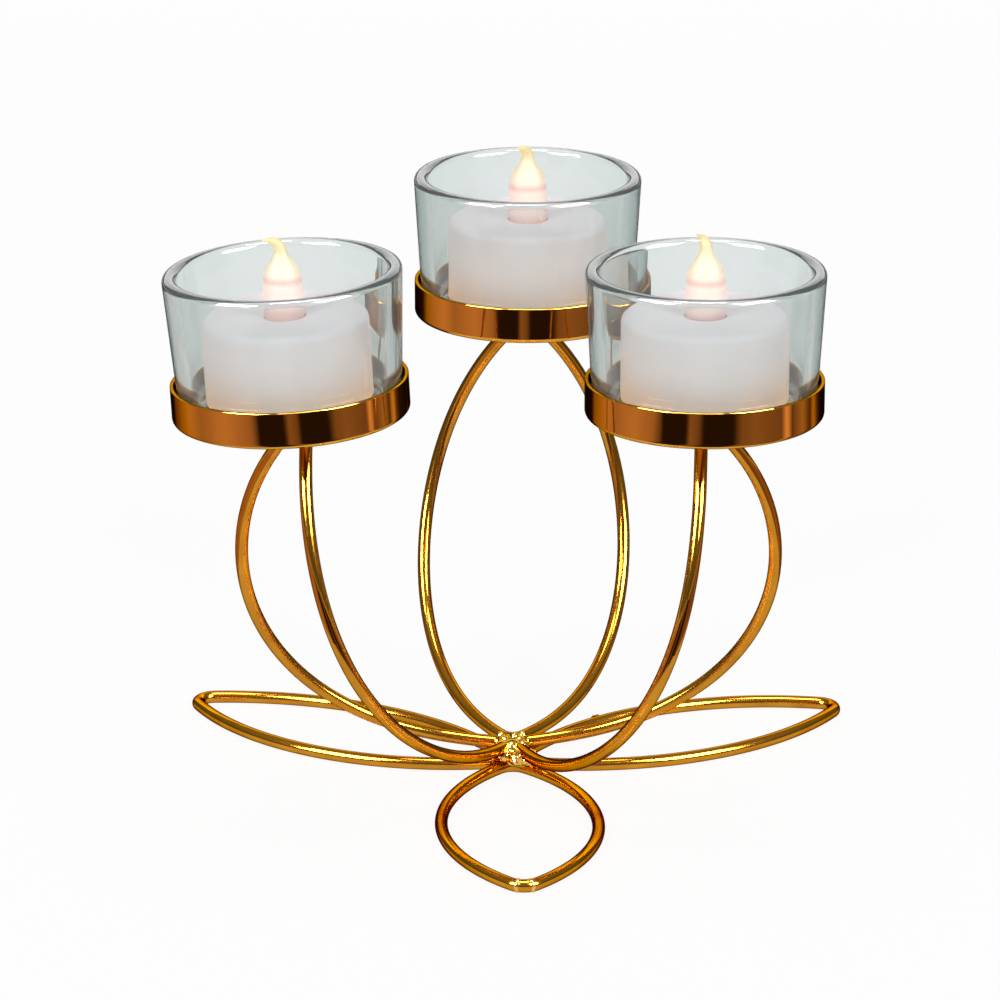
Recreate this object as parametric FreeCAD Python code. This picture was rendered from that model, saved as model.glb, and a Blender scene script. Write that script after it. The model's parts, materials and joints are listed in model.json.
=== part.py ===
"""Candle holder: three glass cups with electric tealights on a stand of bent wire loops.

Millimetres, +Z up. The origin is on the table, on the axis of the hub where the loops meet.
+X is the holder's right and +Y its back.
"""
import FreeCAD, Part
import math
import os

Vector = FreeCAD.Vector

# Wire stand: lengths from the hub axis, and how far each flank of a loop bulges from its own axis
wire_diameter = 3.0
left_base_length = 86.5
right_base_length = 86.3
front_base_length = 77.2
left_base_left_flank = 16.7
left_base_right_flank = 14.5
right_base_left_flank = 16.4
right_base_right_flank = 15.8
front_base_left_flank = 18.4
front_base_right_flank = 17.7
base_end_radius = 4.1
petal_bend_radius = 60.7
left_petal_left_flank = 18.8
left_petal_right_flank = 23.4
back_petal_left_flank = 23.4
back_petal_right_flank = 25.1
right_petal_left_flank = 23.4
right_petal_right_flank = 24.6
petal_end_radius = 2.8
petal_layer_gap = 2.0
loop_gap = 0.1
left_base_angle = 151.0
right_base_angle = 25.7
front_base_angle = 272.0
left_petal_angle = 211.5
back_petal_angle = 88.6
right_petal_angle = 328.5
left_petal_bend_angle = 116.6
back_petal_bend_angle = 116.7
right_petal_bend_angle = 118.2
left_petal_lean_angle = -1.3
back_petal_lean_angle = -1.6
right_petal_lean_angle = -2.9
petal_side_span_count = 5
petal_end_span_count = 2
flat_span_count = 1
straight_share = 1e-5

# Welds
hub_weld_radius = 4.4
hub_weld_crown = 0.9
hub_foot_gap = 0.1
tray_weld_radius = 4.0
tray_weld_depth = 2.4
tray_weld_gap = 0.3

# Trays
tray_wall = 0.9
tray_height = 8.6
tray_corner_radius = 1.3
tray_inner_corner_radius = 0.6
left_tray_shift = -2.7
left_tray_lean_angle = -3.1
seat_clearance = 0.5

# Glasses
glass_height = 33.3
glass_wall = 3.4
glass_floor = 4.1
glass_flare = 2.0
glass_corner_radius = 2.5
glass_inner_corner_radius = 2.0
rim_round_share = 0.45
candle_room = 2.8

# Tealight casing
candle_diameter = 38.0
candle_height = 19.0
candle_wall = 1.2
candle_shoulder_radius = 1.6
candle_inner_radius = 0.6
back_candle_turn_angle = 50.0
right_candle_turn_angle = -60.0
cover_recess = 0.8
cover_thickness = 1.4
cover_clearance = 0.15
post_bore_radius = 1.9
post_clearance = 0.2

# Flame cap
flame_wall = 1.5
flame_tip_height = 8.3
flame_flange_width = 1.4
flame_flange_thickness = 0.9
flame_hole_clearance = 0.15
flame_bulb_shares = ((0.0, 1.0), (0.55, 1.0), (0.93, 0.95))
flame_tip_shares = (
    (0.22, 0.79, 0.0),
    (0.46, 0.49, 0.0),
    (0.68, 0.32, 0.0),
    (0.84, 0.28, -0.07),
    (0.94, 0.22, -0.27),
    (0.985, 0.13, -0.55),
    (1.0, 0.05, -0.86),
)
flame_tip_angles = (0.0, 0.0, 4.0, 22.0, 52.0, 76.0, 88.0)

# Light-emitting diode
led_body_radius = 2.5
led_flange_radius = 2.9
led_flange_thickness = 1.0
led_height = 8.6
led_rise = 0.2
lead_width = 0.5
lead_pitch = 2.54
lead_clearance = 0.2
lead_run_gap = 0.3

# Coin cell, its well and its door
cell_radius = 10.0
cell_height = 3.2
cell_step_height = 0.5
cell_step_width = 1.2
cell_clearance = 0.4
door_thickness = 1.2
door_ledge = 0.8
door_clearance = 0.15
door_slot_length = 9.0
door_slot_width = 1.6
door_slot_depth = 0.5
well_wall = 1.0
well_roof = 1.0

# Contacts
strip_thickness = 0.3
strip_width = 2.0
strip_offset = 1.5
strip_gap = 0.05
spring_height = 0.5
spring_radius = 1.5
spring_place_share = 0.45

# Switch
switch_travel = 3.0
switch_stem_length = 3.4
switch_flange_length = 5.2
switch_flange_thickness = 0.8
switch_foot_gap = 0.3
switch_clearance = 0.2
switch_stem_share = 0.42
switch_flange_share = 0.68
wiper_length = 5.0
wiper_share = 0.42

overrun = 1.0

# Where each loop, tray and tealight stands
base_angles = {"left": left_base_angle, "right": right_base_angle, "front": front_base_angle}
base_lengths = {"left": left_base_length, "right": right_base_length, "front": front_base_length}
base_flanks = {
    "left": (left_base_left_flank, left_base_right_flank),
    "right": (right_base_left_flank, right_base_right_flank),
    "front": (front_base_left_flank, front_base_right_flank),
}
petal_angles = {"left": left_petal_angle, "back": back_petal_angle, "right": right_petal_angle}
petal_bend_angles = {
    "left": left_petal_bend_angle,
    "back": back_petal_bend_angle,
    "right": right_petal_bend_angle,
}
petal_lean_angles = {
    "left": left_petal_lean_angle,
    "back": back_petal_lean_angle,
    "right": right_petal_lean_angle,
}
petal_flanks = {
    "left": (left_petal_left_flank, left_petal_right_flank),
    "back": (back_petal_left_flank, back_petal_right_flank),
    "right": (right_petal_left_flank, right_petal_right_flank),
}
tray_shifts = {"left": left_tray_shift, "back": 0.0, "right": 0.0}
tray_lean_angles = {"left": left_tray_lean_angle, "back": 0.0, "right": 0.0}
candle_turn_angles = {"left": 0.0, "back": back_candle_turn_angle, "right": right_candle_turn_angle}

# Sizes that follow from the ones above
wire_radius = wire_diameter / 2
petal_lift = wire_radius + wire_diameter + petal_layer_gap
petal_lengths = {
    side: petal_bend_radius * math.radians(angle) for side, angle in petal_bend_angles.items()
}
candle_radius = candle_diameter / 2
glass_base_radius = candle_radius + candle_room + glass_wall
glass_slope = glass_flare / glass_height
tray_depth = tray_height - tray_wall
tray_inner_radius = glass_base_radius + glass_slope * tray_depth + seat_clearance
tray_radius = tray_inner_radius + tray_wall
shell_inner_radius = candle_radius - candle_wall
cover_radius = shell_inner_radius - cover_clearance
cover_top = cover_recess + cover_thickness
cell_bottom = cover_recess + door_thickness
cell_top = cell_bottom + cell_height
roof_bottom = cell_top + spring_height
roof_top = roof_bottom + well_roof
well_bore_radius = cell_radius + cell_clearance
door_seat_radius = well_bore_radius + door_ledge
door_radius = door_seat_radius - door_clearance
well_radius = door_seat_radius + well_wall
led_seat = candle_height + led_rise
led_top = led_seat + led_height
cavity_radius = led_flange_radius + post_clearance
flame_radius = cavity_radius + flame_wall
flame_bulb_height = led_top - candle_height
lead_run = roof_top + lead_run_gap + lead_width / 2
switch_room = cover_radius - well_radius
switch_place = (cover_radius + well_radius) / 2
switch_stem_width = switch_room * switch_stem_share
switch_flange_width = switch_room * switch_flange_share
wiper_width = switch_room * wiper_share
flange_top = cover_top + switch_flange_thickness
wiper_top = flange_top + strip_thickness
contact_level = wiper_top + strip_gap


def on_circle(centre, radius, degrees):
    """Return the point of a circle at an angle, as a pair."""
    turn = math.radians(degrees)
    return centre[0] + radius * math.cos(turn), centre[1] + radius * math.sin(turn)


def turned(start, *steps):
    """Turn a profile about Z; a step is the end of a line, or the middle and end of an arc."""
    edges = []
    here = Vector(start[0], 0, start[1])
    for step in steps + (start,):
        if isinstance(step[0], tuple):
            middle = Vector(step[0][0], 0, step[0][1])
            there = Vector(step[1][0], 0, step[1][1])
            edges.append(Part.Arc(here, middle, there).toShape())
        else:
            there = Vector(step[0], 0, step[1])
            edges.append(Part.LineSegment(here, there).toShape())
        here = there
    face = Part.Face(Part.Wire(edges))
    return face.revolve(Vector(0, 0, 0), Vector(0, 0, 1), 360).Solids[0]


def drum(radius, low, high):
    """Return a cylinder on the Z axis between two heights."""
    return Part.makeCylinder(radius, high - low, Vector(0, 0, low))


def block(low, high):
    """Return a box between two corners."""
    size = [b - a for a, b in zip(low, high)]
    return Part.makeBox(size[0], size[1], size[2], Vector(*low))


def moved(shape, placement):
    """Return a copy of a shape carried by a placement."""
    copy = shape.copy()
    copy.Placement = placement.multiply(copy.Placement)
    return copy


# Wire loops: a leaf outline of two long arcs joined by a small arc at each end

def flank_arc(reach, half_width, end_radius):
    """Return a flank's radius, how far its centre is off the axis, and the angle where it meets an end."""
    radius = (reach ** 2 / (half_width - end_radius) + half_width + end_radius) / 2
    drop = radius - half_width
    return radius, drop, math.degrees(math.atan2(drop, reach))


def leaf_arcs(start, end, flanks, end_radius):
    """Return a leaf outline as arcs of centre, radius, first and last angle, run anticlockwise."""
    middle = (start + end) / 2
    reach = (end - start) / 2 - end_radius
    left_radius, left_drop, left_turn = flank_arc(reach, flanks[0], end_radius)
    right_radius, right_drop, right_turn = flank_arc(reach, flanks[1], end_radius)
    return (
        ((middle + reach, 0.0), end_radius, -right_turn, left_turn),
        ((middle, -left_drop), left_radius, left_turn, 180 - left_turn),
        ((middle - reach, 0.0), end_radius, 180 - left_turn, 180 + right_turn),
        ((middle, right_drop), right_radius, 180 + right_turn, 360 - right_turn),
    )


def arc_edge(first, direction, last):
    """Return the arc that leaves a point in a direction and ends at another point."""
    chord = last - first
    across = chord - direction * chord.dot(direction)
    if across.Length < straight_share * chord.Length:
        return Part.LineSegment(first, last).toShape()
    across.normalize()
    radius = chord.Length ** 2 / (2 * chord.dot(across))
    centre = first + across * radius
    outward = (first - centre) + (last - centre)
    outward.normalize()
    return Part.Arc(first, centre + outward * radius, last).toShape()


def biarc_edges(first, first_way, last, last_way):
    """Join two points with given directions by two tangent arcs."""
    chord = last - first
    ways = first_way + last_way
    spread = 2 * (1 - first_way.dot(last_way))
    lead = chord.dot(ways)
    reach = (math.sqrt(lead ** 2 + spread * chord.dot(chord)) - lead) / spread
    joint = (first + last + (first_way - last_way) * reach) * 0.5
    joint_way = joint - first - first_way * reach
    joint_way.normalize()
    return [arc_edge(first, first_way, joint), arc_edge(joint, joint_way, last)]


def loop_wire(arcs, place, end_spans, side_spans):
    """Lay a leaf outline in space with a placing function, as a closed wire of tangent arcs."""
    edges = []
    for number, (centre, radius, first, last) in enumerate(arcs):
        spans = side_spans if number % 2 else end_spans
        stops = [first + (last - first) * count / spans for count in range(spans + 1)]
        knots = [place(*on_circle(centre, radius, stop), stop + 90) for stop in stops]
        for before, after in zip(knots, knots[1:]):
            edges += biarc_edges(*before, *after)
    return Part.Wire(edges)


def wire_solid(path):
    """Sweep the round wire section along a closed path."""
    edge = path.Edges[0]
    point = edge.valueAt(edge.FirstParameter)
    way = edge.tangentAt(edge.FirstParameter)
    section = Part.Wire(Part.Circle(point, way, wire_radius).toShape())
    solid = Part.Solid(path.makePipeShell([section], True, False).Shells[0])
    if solid.Volume < 0:
        solid.reverse()
    return solid


def hub_offset(angles, end_radius):
    """Return how far from the hub axis a loop starts, so that neighbouring loops stay clear."""
    turns = sorted(angles.values())
    steps = [after - before for before, after in zip(turns, turns[1:])]
    steps.append(turns[0] + 360 - turns[-1])
    half = math.radians(min(steps) / 2)
    return (end_radius + wire_radius + loop_gap / 2) / math.sin(half) - end_radius


def flat_place(along, aside, way):
    """Put an outline point on the table, with its direction."""
    turn = math.radians(way)
    return Vector(along, aside, wire_radius), Vector(math.cos(turn), math.sin(turn), 0)


def petal_place(lean):
    """Return the function that bends an outline point up round the petal's bend and leans it."""
    tilt = FreeCAD.Rotation(Vector(1, 0, 0), -lean)
    lift = Vector(0, 0, petal_lift)

    def place(along, aside, way):
        turn = math.radians(way)
        bend = along / petal_bend_radius
        rise = petal_bend_radius * (1 - math.cos(bend))
        point = Vector(petal_bend_radius * math.sin(bend), aside, rise)
        direction = Vector(
            math.cos(turn) * math.cos(bend), math.sin(turn), math.cos(turn) * math.sin(bend)
        )
        return tilt.multVec(point) + lift, tilt.multVec(direction)

    return place


def about_hub(degrees):
    """Return the placement that turns a loop about the hub axis."""
    return FreeCAD.Placement(Vector(0, 0, 0), FreeCAD.Rotation(Vector(0, 0, 1), degrees))


base_start = hub_offset(base_angles, base_end_radius)
petal_start = hub_offset(petal_angles, petal_end_radius)


def base_loop(side):
    """Return one leaf loop that lies on the table."""
    arcs = leaf_arcs(base_start, base_lengths[side], base_flanks[side], base_end_radius)
    path = loop_wire(arcs, flat_place, flat_span_count, flat_span_count)
    return moved(wire_solid(path), about_hub(base_angles[side]))


def petal(side):
    """Return one leaf loop that bends out from the hub and up to a tray."""
    arcs = leaf_arcs(petal_start, petal_lengths[side], petal_flanks[side], petal_end_radius)
    place = petal_place(petal_lean_angles[side])
    path = loop_wire(arcs, place, petal_end_span_count, petal_side_span_count)
    return moved(wire_solid(path), about_hub(petal_angles[side]))


def cup_place(side):
    """Return the placement of a cup: its origin is under the tray, over the petal's tip."""
    tip, _ = petal_place(petal_lean_angles[side])(petal_lengths[side], 0.0, 0.0)
    tip = about_hub(petal_angles[side]).multVec(tip)
    tip.z += wire_radius + tray_weld_gap
    return FreeCAD.Placement(tip, FreeCAD.Rotation(Vector(0, 1, 0), tray_lean_angles[side]))


def in_cup(side, height, turn=0.0):
    """Return the placement of a piece on a tray's axis at a height above the tray's underside."""
    local = FreeCAD.Placement(
        Vector(tray_shifts[side], 0, height), FreeCAD.Rotation(Vector(0, 0, 1), turn)
    )
    return cup_place(side).multiply(local)


# Welds, trays and glasses

def hub_weld(loops):
    """Return the bead that fills the middle of the hub and grips the loops' ends."""
    foot_radius = base_start - wire_radius - hub_foot_gap
    top = petal_lift + wire_radius + hub_weld_crown
    rise = top - petal_lift
    dome_radius = (hub_weld_radius ** 2 + rise ** 2) / (2 * rise)
    half = math.degrees(math.asin(hub_weld_radius / dome_radius)) / 2
    crown = on_circle((0.0, top - dome_radius), dome_radius, 90 - half)
    bead = turned(
        (0.0, 0.0),
        (foot_radius, 0.0),
        (foot_radius, wire_radius),
        (hub_weld_radius, wire_radius),
        (hub_weld_radius, petal_lift),
        (crown, (0.0, top)),
    )
    for loop in loops:
        bead = bead.cut(loop)
    return bead


def tray_weld(side, loop):
    """Return the bead that fixes a petal's tip under its tray."""
    ball_radius = (tray_weld_radius ** 2 + tray_weld_depth ** 2) / (2 * tray_weld_depth)
    half = math.degrees(math.asin(tray_weld_radius / ball_radius)) / 2
    middle = on_circle((0.0, ball_radius - tray_weld_depth), ball_radius, half - 90)
    bead = turned((0.0, -tray_weld_depth), (middle, (tray_weld_radius, 0.0)), (0.0, 0.0))
    return moved(bead, cup_place(side)).cut(loop)


def tray():
    """Return a stamped dish with a rounded bottom edge, its underside at zero."""
    outer = (tray_radius - tray_corner_radius, tray_corner_radius)
    inner_level = tray_wall + tray_inner_corner_radius
    inner = (tray_inner_radius - tray_inner_corner_radius, inner_level)
    return turned(
        (0.0, 0.0),
        (outer[0], 0.0),
        (on_circle(outer, tray_corner_radius, -45), (tray_radius, tray_corner_radius)),
        (tray_radius, tray_height),
        (tray_inner_radius, tray_height),
        (tray_inner_radius, inner_level),
        (on_circle(inner, tray_inner_corner_radius, -45), (inner[0], tray_wall)),
        (0.0, tray_wall),
    )


def glass():
    """Return a thick tapered cup with a rounded rim, its underside at zero."""
    slant = math.degrees(math.atan(glass_slope))
    rim_radius = glass_wall * rim_round_share
    wall_across = glass_wall / math.cos(math.radians(slant))
    base = (glass_base_radius - glass_corner_radius, glass_corner_radius)
    rim_level = glass_height - rim_radius
    rim_outer = glass_base_radius + glass_slope * rim_level
    rim_inner = rim_outer - wall_across
    floor_inner = glass_base_radius + glass_slope * glass_floor - wall_across
    corner = (floor_inner - glass_inner_corner_radius, glass_floor + glass_inner_corner_radius)
    outer_round = (rim_outer - rim_radius, rim_level)
    inner_round = (rim_inner + rim_radius, rim_level)
    corner_wall = floor_inner + glass_slope * glass_inner_corner_radius
    base_wall = glass_base_radius + glass_slope * glass_corner_radius
    return turned(
        (0.0, 0.0),
        (base[0], 0.0),
        (on_circle(base, glass_corner_radius, -45), (base_wall, glass_corner_radius)),
        (rim_outer, rim_level),
        (on_circle(outer_round, rim_radius, 45), (outer_round[0], glass_height)),
        (inner_round[0], glass_height),
        (on_circle(inner_round, rim_radius, 135), (rim_inner, rim_level)),
        (corner_wall, corner[1]),
        (on_circle(corner, glass_inner_corner_radius, -45), (corner[0], glass_floor)),
        (0.0, glass_floor),
    )


# Tealight: every piece stands on the candle's axis, with the candle's bottom edge at zero

def candle_shell():
    """Return the white moulded casing, open below, with a round hole for the flame."""
    hole_radius = flame_radius + flame_hole_clearance
    ceiling = candle_height - candle_wall
    shoulder = (candle_radius - candle_shoulder_radius, candle_height - candle_shoulder_radius)
    inner = (shell_inner_radius - candle_inner_radius, ceiling - candle_inner_radius)
    return turned(
        (shell_inner_radius, 0.0),
        (candle_radius, 0.0),
        (candle_radius, shoulder[1]),
        (on_circle(shoulder, candle_shoulder_radius, 45), (shoulder[0], candle_height)),
        (hole_radius, candle_height),
        (hole_radius, ceiling),
        (inner[0], ceiling),
        (on_circle(inner, candle_inner_radius, 45), (shell_inner_radius, inner[1])),
    )


def base_cover():
    """Return the moulded underside with the cell's well, the diode's post and the switch slot."""
    plate = drum(cover_radius, cover_recess, cover_top)
    well = drum(well_radius, cover_recess, roof_top)
    post = drum(led_flange_radius, roof_bottom, led_seat)
    body = plate.fuse(well).fuse(post)
    body = body.cut(drum(door_seat_radius, cover_recess - overrun, cell_bottom))
    body = body.cut(drum(well_bore_radius, cell_bottom - overrun, roof_bottom))
    body = body.cut(drum(post_bore_radius, roof_bottom - overrun, led_seat + overrun))
    slot_half = (switch_stem_length + switch_travel) / 2 + switch_clearance
    slot_side = switch_stem_width / 2 + switch_clearance
    slot = block(
        (-switch_place - slot_side, -slot_half, cover_recess - overrun),
        (-switch_place + slot_side, slot_half, cover_top + overrun),
    )
    window = block(
        (-well_radius - overrun, strip_offset - lead_clearance, cover_top),
        (-well_bore_radius + door_ledge, strip_offset + strip_width + lead_clearance, roof_bottom),
    )
    lead_half = lead_width / 2 + lead_clearance
    lead_slot = block(
        (-led_flange_radius - overrun, -lead_half, roof_top),
        (0.0, lead_half, lead_run + lead_half),
    )
    return body.cut([slot, window, lead_slot]).removeSplitter()


def battery_door():
    """Return the round door under the cell, with a coin slot."""
    door = drum(door_radius, cover_recess, cell_bottom)
    slot = block(
        (-door_slot_length / 2, -door_slot_width / 2, cover_recess - overrun),
        (door_slot_length / 2, door_slot_width / 2, cover_recess + door_slot_depth),
    )
    return door.cut(slot)


def coin_cell():
    """Return the coin cell: a wide can below and its smaller cap above."""
    can = drum(cell_radius, cell_bottom, cell_top - cell_step_height)
    cap = drum(cell_radius - cell_step_width, cell_bottom, cell_top)
    return can.fuse(cap).removeSplitter()


def negative_contact():
    """Return the strip under the well's roof, with its spring dimple and its tab to the diode."""
    place = cell_radius * spring_place_share
    tab_side = lead_pitch / 2
    half = lead_width / 2
    strip = block(
        (-place - spring_radius, -strip_width / 2, roof_bottom - strip_thickness),
        (tab_side + half, strip_width / 2, roof_bottom),
    )
    dimple = Part.makeCylinder(
        spring_radius, spring_height - strip_thickness, Vector(-place, 0, cell_top)
    )
    tab = block(
        (tab_side - half, -half, roof_bottom - strip_thickness), (tab_side + half, half, lead_run)
    )
    return strip.fuse([dimple, tab]).removeSplitter()


def positive_contact():
    """Return the strip beside the cell, with its tab over the switch."""
    side = cell_radius - strip_gap
    far = strip_offset + strip_width
    upright = block(
        (-side - strip_thickness, strip_offset, cover_top + strip_gap),
        (-side, far, roof_bottom - strip_gap),
    )
    tab = block(
        (-switch_place - wiper_width / 2, strip_offset, contact_level),
        (-side, far, contact_level + strip_thickness),
    )
    body = upright.fuse(tab)
    return body.cut(drum(cell_radius + strip_gap, cover_recess, roof_top)).removeSplitter()


def led():
    """Return the diode with its flange, its dome, its short lead and its bent lead."""
    dome_level = led_top - led_body_radius
    body = turned(
        (0.0, led_seat),
        (led_flange_radius, led_seat),
        (led_flange_radius, led_seat + led_flange_thickness),
        (led_body_radius, led_seat + led_flange_thickness),
        (led_body_radius, dome_level),
        (on_circle((0.0, dome_level), led_body_radius, 45), (0.0, led_top)),
    )
    half = lead_width / 2
    inset = led_flange_thickness / 2
    side = lead_pitch / 2
    short_lead = block((side - half, -half, lead_run), (side + half, half, led_seat + inset))
    long_lead = block(
        (-side - half, -half, lead_run - half), (-side + half, half, led_seat + inset)
    )
    run = block((-switch_place - half, -half, lead_run - half), (-side, half, lead_run + half))
    drop = block(
        (-switch_place - half, -half, contact_level), (-switch_place + half, half, lead_run)
    )
    return body.fuse([short_lead, long_lead, run, drop]).removeSplitter()


def flame():
    """Return the hollow flame cap: a bulb over the diode, a curled tip and a flange inside."""
    flange_top_level = candle_height - candle_wall
    flange_low = flange_top_level - flame_flange_thickness
    rings = [(flange_top_level, flame_radius, 0.0, 0.0)]
    for height, radius in flame_bulb_shares:
        level = candle_height + height * flame_bulb_height
        rings.append((level, radius * flame_radius, 0.0, 0.0))
    for (height, radius, shift), tilt in zip(flame_tip_shares, flame_tip_angles):
        level = candle_height + flame_bulb_height + height * flame_tip_height
        rings.append((level, radius * flame_radius, shift * flame_radius, tilt))
    wires = []
    for level, radius, shift, tilt in rings:
        way = math.radians(tilt)
        axis = Vector(-math.sin(way), 0, math.cos(way))
        wires.append(Part.Wire(Part.Circle(Vector(shift, 0, level), axis, radius).toShape()))
    body = Part.makeLoft(wires, True, False)
    flange_radius = flame_radius + flame_flange_width
    body = body.fuse(drum(flange_radius, flange_low, flange_top_level))
    dome_level = led_top - led_body_radius
    cavity = turned(
        (0.0, flange_low - overrun),
        (cavity_radius, flange_low - overrun),
        (cavity_radius, dome_level),
        (on_circle((0.0, dome_level), cavity_radius, 45), (0.0, dome_level + cavity_radius)),
    )
    return body.cut(cavity).Solids[0]


def switch_knob():
    """Return the sliding knob, at its on place, recessed above the candle's bottom edge."""
    shift = switch_travel / 2
    stem_side = switch_stem_width / 2
    stem_half = switch_stem_length / 2
    flange_side = switch_flange_width / 2
    flange_half = switch_flange_length / 2
    stem = block(
        (-switch_place - stem_side, shift - stem_half, switch_foot_gap),
        (-switch_place + stem_side, shift + stem_half, cover_top),
    )
    flange = block(
        (-switch_place - flange_side, shift - flange_half, cover_top),
        (-switch_place + flange_side, shift + flange_half, flange_top),
    )
    return stem.fuse(flange).removeSplitter()


def switch_wiper():
    """Return the strip on the knob that bridges the two contacts when the switch is on."""
    shift = switch_travel / 2
    side = wiper_width / 2
    half = wiper_length / 2
    return block(
        (-switch_place - side, shift - half, flange_top),
        (-switch_place + side, shift + half, wiper_top),
    )


candle_makers = {
    "candle_shell": candle_shell,
    "base_cover": base_cover,
    "battery_door": battery_door,
    "coin_cell": coin_cell,
    "negative_contact": negative_contact,
    "positive_contact": positive_contact,
    "led": led,
    "flame": flame,
    "switch_knob": switch_knob,
    "switch_wiper": switch_wiper,
}

nodes = {}
for name in base_angles:
    nodes[name + "_base_loop"] = base_loop(name)
for name in petal_angles:
    nodes[name + "_petal"] = petal(name)
nodes["hub_weld"] = hub_weld(list(nodes.values()))
for name in petal_angles:
    nodes[name + "_tray"] = moved(tray(), in_cup(name, 0.0))
    nodes[name + "_tray_weld"] = tray_weld(name, nodes[name + "_petal"])
    nodes[name + "_glass"] = moved(glass(), in_cup(name, tray_wall))
    candle_level = tray_wall + glass_floor
    for piece, make in candle_makers.items():
        nodes[name + "_" + piece] = moved(make(), in_cup(name, candle_level, candle_turn_angles[name]))

os.makedirs("parts", exist_ok=True)
for name, shape in nodes.items():
    shape.exportStep("parts/" + name + ".step")
    print(name, len(shape.Solids), round(shape.Volume, 1), shape.isValid())
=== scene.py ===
"""Looks of a wire candle holder with three glass cups and electric tealights.

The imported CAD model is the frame. This script dresses its nodes, replaces those whose edges need more
form, adds the welds, and sets up a plain studio with the camera of the photograph.
"""
import json
import logging
import math
from collections.abc import Sequence
from dataclasses import dataclass
from enum import Enum
from typing import Any

import bmesh
import bpy
from mathutils import Matrix, Vector, noise


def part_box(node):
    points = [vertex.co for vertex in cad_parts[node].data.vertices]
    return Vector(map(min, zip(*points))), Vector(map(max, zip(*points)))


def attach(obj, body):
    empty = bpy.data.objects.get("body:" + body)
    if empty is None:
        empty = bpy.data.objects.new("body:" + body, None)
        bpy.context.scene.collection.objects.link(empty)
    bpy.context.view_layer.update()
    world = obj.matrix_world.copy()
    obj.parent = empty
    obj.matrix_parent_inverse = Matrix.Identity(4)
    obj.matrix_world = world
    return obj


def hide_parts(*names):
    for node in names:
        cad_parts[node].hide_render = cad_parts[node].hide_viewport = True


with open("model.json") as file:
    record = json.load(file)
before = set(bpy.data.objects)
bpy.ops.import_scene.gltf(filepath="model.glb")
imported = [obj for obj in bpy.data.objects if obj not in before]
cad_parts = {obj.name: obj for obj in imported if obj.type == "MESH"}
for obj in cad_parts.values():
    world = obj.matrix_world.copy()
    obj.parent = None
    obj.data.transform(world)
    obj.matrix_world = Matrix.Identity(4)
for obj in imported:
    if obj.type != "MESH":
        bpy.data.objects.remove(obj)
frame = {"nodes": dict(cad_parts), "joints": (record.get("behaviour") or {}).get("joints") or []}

logging.basicConfig(level=logging.INFO, format="%(message)s")
log = logging.getLogger("candle_holder")

bpy.context.view_layer.update()
MM = 0.001
MERGE_GAP = 0.0001 * MM
SAME_PLACE = 0.001 * MM
WHITE = (1.0, 1.0, 1.0, 1.0)


class Side(Enum):
    """The three cups, by the place of their petal."""

    LEFT = "left"
    BACK = "back"
    RIGHT = "right"


class Slot(Enum):
    """Material slots of the record, by name."""

    TRAY = "gold_tray"
    WELD = "weld_bead"
    GLASS = "clear_glass"
    CASING = "white_casing"


# Small tools


def linear(code: str) -> tuple[float, float, float, float]:
    """Turn an sRGB hex colour into linear light.

    Args:
        code: Six hex digits after a hash sign.

    Returns:
        Red, green, blue and an alpha of one.
    """
    values = [int(code[place:place + 2], 16) / 255 for place in (1, 3, 5)]
    light = [v / 12.92 if v <= 0.04045 else ((v + 0.055) / 1.055) ** 2.4 for v in values]
    return light[0], light[1], light[2], 1.0


def per_size(size: float) -> float:
    """Return the texture scale whose features are about this many millimetres across."""
    return 1 / (size * MM)


def add_node(
    tree: bpy.types.NodeTree, kind: str, inputs: dict[str | int, Any] | None = None, **settings: Any
) -> bpy.types.Node:
    """Add a node to a tree.

    Args:
        tree: The tree that gets the node.
        kind: Blender's name for the node's type.
        inputs: Socket names or numbers, each with a value or with the socket that feeds it.
        settings: Properties of the node itself.

    Returns:
        The new node.
    """
    node = tree.nodes.new(kind)
    for name, value in settings.items():
        setattr(node, name, value)
    for name, value in (inputs or {}).items():
        if isinstance(value, bpy.types.NodeSocket):
            tree.links.new(value, node.inputs[name])
        else:
            node.inputs[name].default_value = value
    return node


def new_tree(name: str) -> tuple[bpy.types.Material, bpy.types.NodeTree, bpy.types.Node]:
    """Start an empty node material.

    Args:
        name: The material's name.

    Returns:
        The material, its node tree and its output node.
    """
    material = bpy.data.materials.new(name)
    material.use_nodes = True
    tree = material.node_tree
    tree.nodes.clear()
    return material, tree, add_node(tree, "ShaderNodeOutputMaterial")


def dress(piece: bpy.types.Object, material: bpy.types.Material) -> None:
    """Give a piece one material all over.

    Args:
        piece: The object to dress.
        material: Its finish.
    """
    piece.data.materials.clear()
    piece.data.materials.append(material)


# Finishes


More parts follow.
